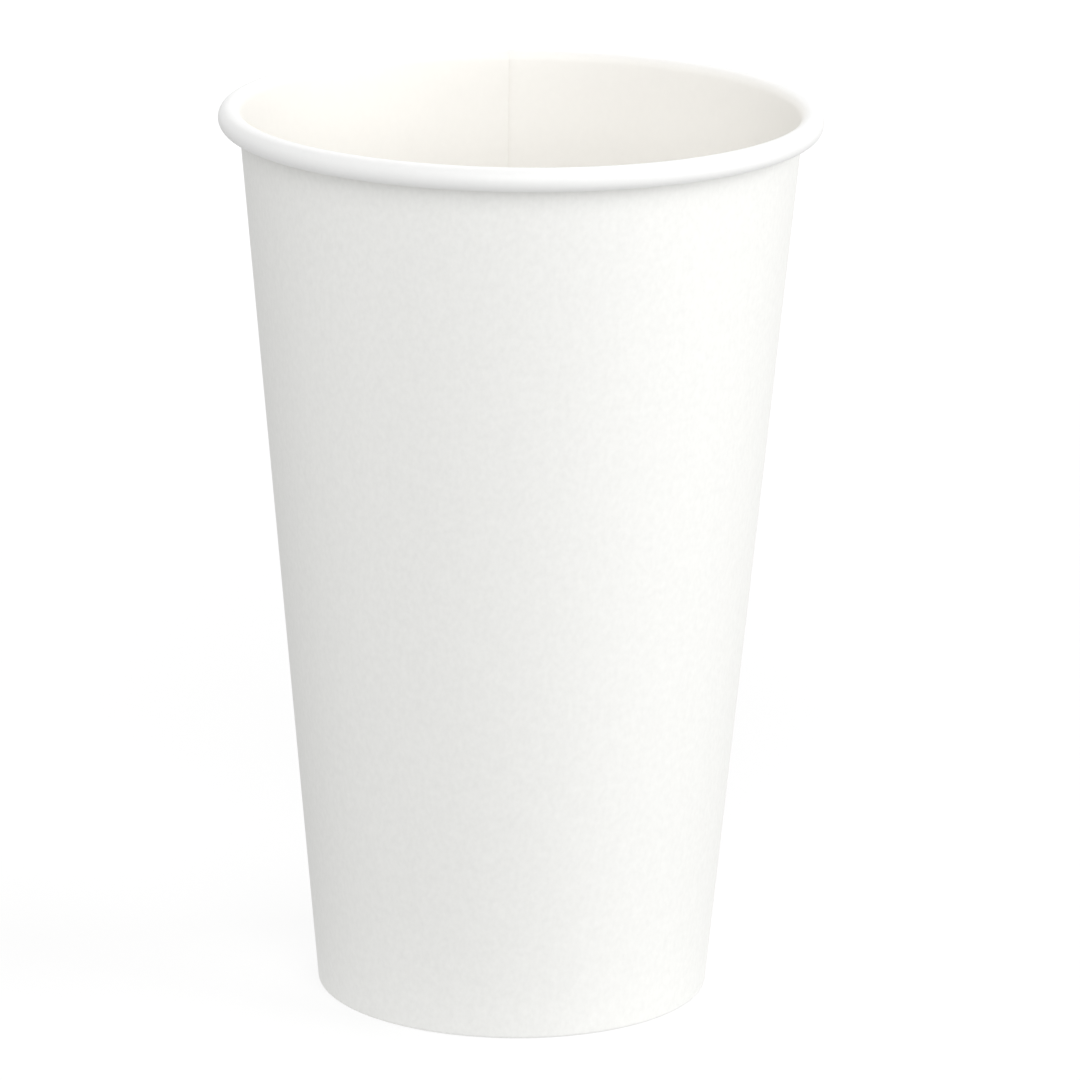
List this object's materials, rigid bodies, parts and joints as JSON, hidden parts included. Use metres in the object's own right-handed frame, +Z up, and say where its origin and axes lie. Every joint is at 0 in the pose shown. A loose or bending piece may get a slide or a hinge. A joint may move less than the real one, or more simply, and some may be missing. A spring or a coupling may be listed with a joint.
{
  "type": "paper coffee cup",
  "caption": "Tall single-wall paper cup for hot drinks: tapered side wall with a rolled rim, lapped seam and folded hem, and a raised bottom disc.",
  "frame": {"origin": "on the table, at the middle of the foot ring", "axes": "+Z up along the cup's axis, towards the open rim; the lapped seam is at the back, near +Y; +X to the right as seen from the front"},
  "size_m": [0.09, 0.09, 0.136],
  "materials": {
    "wall_board": "matte",
    "bottom_board": "matte"
  },
  "bodies": {
    "root": {"side_wall": "wall_board", "bottom_disc": "bottom_board"}
  },
  "joints": []
}
